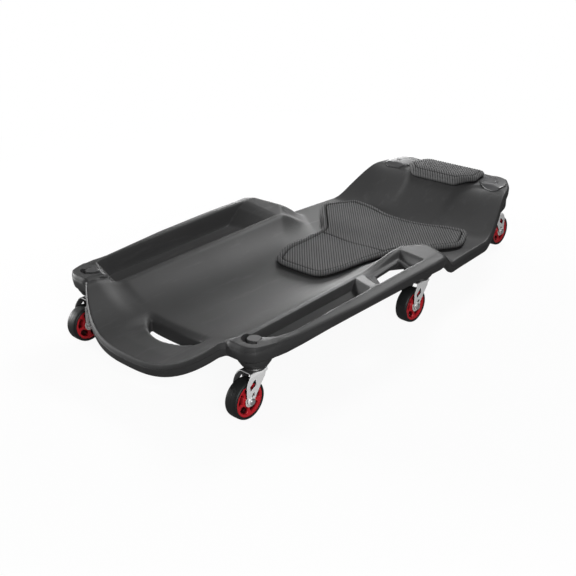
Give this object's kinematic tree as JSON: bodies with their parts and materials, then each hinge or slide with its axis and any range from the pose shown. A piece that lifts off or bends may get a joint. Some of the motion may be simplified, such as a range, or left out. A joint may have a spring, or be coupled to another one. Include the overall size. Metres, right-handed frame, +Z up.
{
  "type": "mechanic creeper",
  "caption": "Low dished board on swivel castors, for lying under a vehicle: raised side wings with tool trays, hand holes, and a pad for the back and for the head.",
  "frame": {"origin": "on the floor, under the middle of the bounding box", "axes": "+X towards the head end, +Y towards the left hand side of somebody who lies on it, +Z up"},
  "size_m": [1.1354, 0.572, 0.1881],
  "materials": {
    "deck_plastic": "satin moulded, fine grain",
    "pad_foam": "ribbed foam, matt",
    "cover_plastic": "smooth satin",
    "plug_plastic": "matt",
    "zinc_steel": "bright zinc plated",
    "dark_steel": "black oxide",
    "hub_plastic": "glossy moulded",
    "tyre_rubber": "smooth matt"
  },
  "bodies": {
    "creeper_deck": {"deck": "deck_plastic", "back_pad": "pad_foam", "head_pad": "pad_foam", "corner_cover_left": "cover_plastic", "corner_cover_right": "cover_plastic", "cover_screws": "dark_steel", "stem_inserts": "zinc_steel", "kingpins": "zinc_steel", "upper_races": "zinc_steel", "corner_plugs": "plug_plastic"},
    "swivel_foot_left": {"fork_foot_left": "zinc_steel", "race_balls_foot_left": "zinc_steel", "axle_bolt_foot_left": "zinc_steel", "axle_nut_foot_left": "zinc_steel", "axle_sleeve_foot_left": "zinc_steel", "thrust_washers_foot_left": "zinc_steel"},
    "wheel_foot_left": {"hub_foot_left": "hub_plastic", "tyre_foot_left": "tyre_rubber"},
    "swivel_foot_right": {"fork_foot_right": "zinc_steel", "race_balls_foot_right": "zinc_steel", "axle_bolt_foot_right": "zinc_steel", "axle_nut_foot_right": "zinc_steel", "axle_sleeve_foot_right": "zinc_steel", "thrust_washers_foot_right": "zinc_steel"},
    "wheel_foot_right": {"hub_foot_right": "hub_plastic", "tyre_foot_right": "tyre_rubber"},
    "swivel_mid_left": {"fork_mid_left": "zinc_steel", "race_balls_mid_left": "zinc_steel", "axle_bolt_mid_left": "zinc_steel", "axle_nut_mid_left": "zinc_steel", "axle_sleeve_mid_left": "zinc_steel", "thrust_washers_mid_left": "zinc_steel"},
    "wheel_mid_left": {"hub_mid_left": "hub_plastic", "tyre_mid_left": "tyre_rubber"},
    "swivel_mid_right": {"fork_mid_right": "zinc_steel", "race_balls_mid_right": "zinc_steel", "axle_bolt_mid_right": "zinc_steel", "axle_nut_mid_right": "zinc_steel", "axle_sleeve_mid_right": "zinc_steel", "thrust_washers_mid_right": "zinc_steel"},
    "wheel_mid_right": {"hub_mid_right": "hub_plastic", "tyre_mid_right": "tyre_rubber"},
    "swivel_head_left": {"fork_head_left": "zinc_steel", "race_balls_head_left": "zinc_steel", "axle_bolt_head_left": "zinc_steel", "axle_nut_head_left": "zinc_steel", "axle_sleeve_head_left": "zinc_steel", "thrust_washers_head_left": "zinc_steel"},
    "wheel_head_left": {"hub_head_left": "hub_plastic", "tyre_head_left": "tyre_rubber"},
    "swivel_head_right": {"fork_head_right": "zinc_steel", "race_balls_head_right": "zinc_steel", "axle_bolt_head_right": "zinc_steel", "axle_nut_head_right": "zinc_steel", "axle_sleeve_head_right": "zinc_steel", "thrust_washers_head_right": "zinc_steel"},
    "wheel_head_right": {"hub_head_right": "hub_plastic", "tyre_head_right": "tyre_rubber"}
  },
  "joints": [
    {"name": "swivel_turn_foot_left", "type": "hinge", "parent": "creeper_deck", "child": "swivel_foot_left", "pos_m": [-0.46175, 0.224, 0.0901], "axis": [0, 0, 1], "continuous": true},
    {"name": "wheel_spin_foot_left", "type": "hinge", "parent": "swivel_foot_left", "child": "wheel_foot_left", "pos_m": [-0.48875, 0.224, 0.0375], "axis": [0, 1, 0], "continuous": true},
    {"name": "swivel_turn_foot_right", "type": "hinge", "parent": "creeper_deck", "child": "swivel_foot_right", "pos_m": [-0.46175, -0.224, 0.0901], "axis": [0, 0, 1], "continuous": true},
    {"name": "wheel_spin_foot_right", "type": "hinge", "parent": "swivel_foot_right", "child": "wheel_foot_right", "pos_m": [-0.48875, -0.224, 0.0375], "axis": [0, 1, 0], "continuous": true},
    {"name": "swivel_turn_mid_left", "type": "hinge", "parent": "creeper_deck", "child": "swivel_mid_left", "pos_m": [0.04725, 0.22, 0.0901], "axis": [0, 0, 1], "continuous": true},
    {"name": "wheel_spin_mid_left", "type": "hinge", "parent": "swivel_mid_left", "child": "wheel_mid_left", "pos_m": [0.02025, 0.22, 0.0375], "axis": [0, 1, 0], "continuous": true},
    {"name": "swivel_turn_mid_right", "type": "hinge", "parent": "creeper_deck", "child": "swivel_mid_right", "pos_m": [0.04725, -0.22, 0.0901], "axis": [0, 0, 1], "continuous": true},
    {"name": "wheel_spin_mid_right", "type": "hinge", "parent": "swivel_mid_right", "child": "wheel_mid_right", "pos_m": [0.02025, -0.22, 0.0375], "axis": [0, 1, 0], "continuous": true},
    {"name": "swivel_turn_head_left", "type": "hinge", "parent": "creeper_deck", "child": "swivel_head_left", "pos_m": [0.50325, 0.128, 0.0901], "axis": [0, 0, 1], "continuous": true},
    {"name": "wheel_spin_head_left", "type": "hinge", "parent": "swivel_head_left", "child": "wheel_head_left", "pos_m": [0.53025, 0.128, 0.0375], "axis": [0, 1, 0], "continuous": true},
    {"name": "swivel_turn_head_right", "type": "hinge", "parent": "creeper_deck", "child": "swivel_head_right", "pos_m": [0.50325, -0.128, 0.0901], "axis": [0, 0, 1], "continuous": true},
    {"name": "wheel_spin_head_right", "type": "hinge", "parent": "swivel_head_right", "child": "wheel_head_right", "pos_m": [0.53025, -0.128, 0.0375], "axis": [0, 1, 0], "continuous": true}
  ]
}
